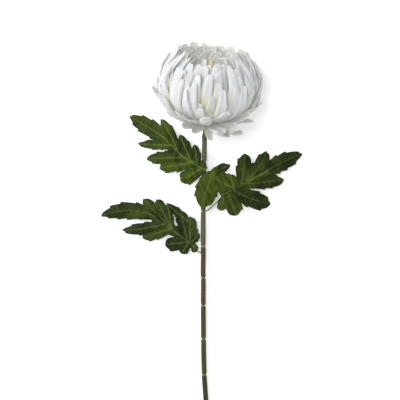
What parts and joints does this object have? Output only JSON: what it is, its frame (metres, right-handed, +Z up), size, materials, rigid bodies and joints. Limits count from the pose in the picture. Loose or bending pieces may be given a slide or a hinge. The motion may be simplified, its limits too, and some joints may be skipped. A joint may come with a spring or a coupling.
{
  "type": "artificial chrysanthemum stem",
  "caption": "Artificial incurved white chrysanthemum on a notched plastic stem with deeply lobed green leaves, lying on its side.",
  "frame": {"origin": "on the surface it lies on, under the middle of its bounding box", "axes": "+Z up from that surface, +Y from the cut end to the flower head, +X to the right of the stem seen from above"},
  "size_m": [0.248, 0.49, 0.1174],
  "materials": {
    "petal_fabric": "stiffened white polyester cloth, matt, ivory in its depths",
    "leaf_fabric": "stiffened green cloth with pressed veins and a faint sheen",
    "stem_plastic": "moulded polyethylene, satin, sprayed olive and brown",
    "eye_plastic": "moulded, pale yellow green with an ochre tip",
    "wire_steel": "drawn wire"
  },
  "bodies": {
    "root": {"calyx": "stem_plastic", "flower_eye": "eye_plastic", "flower_pin": "stem_plastic", "leaf_lower_left_blade": "leaf_fabric", "leaf_lower_left_rib": "stem_plastic", "leaf_right_blade": "leaf_fabric", "leaf_right_rib": "stem_plastic", "leaf_upper_left_blade": "leaf_fabric", "leaf_upper_left_rib": "stem_plastic", "petal_ring_01": "petal_fabric", "petal_ring_02": "petal_fabric", "petal_ring_03": "petal_fabric", "petal_ring_04": "petal_fabric", "petal_ring_05": "petal_fabric", "petal_ring_06": "petal_fabric", "petal_ring_07": "petal_fabric", "petal_ring_08": "petal_fabric", "petal_ring_09": "petal_fabric", "petal_ring_10": "petal_fabric", "petal_ring_11": "petal_fabric", "petal_ring_12": "petal_fabric", "petal_ring_13": "petal_fabric", "stem": "stem_plastic", "stem_wire": "wire_steel"}
  },
  "joints": []
}
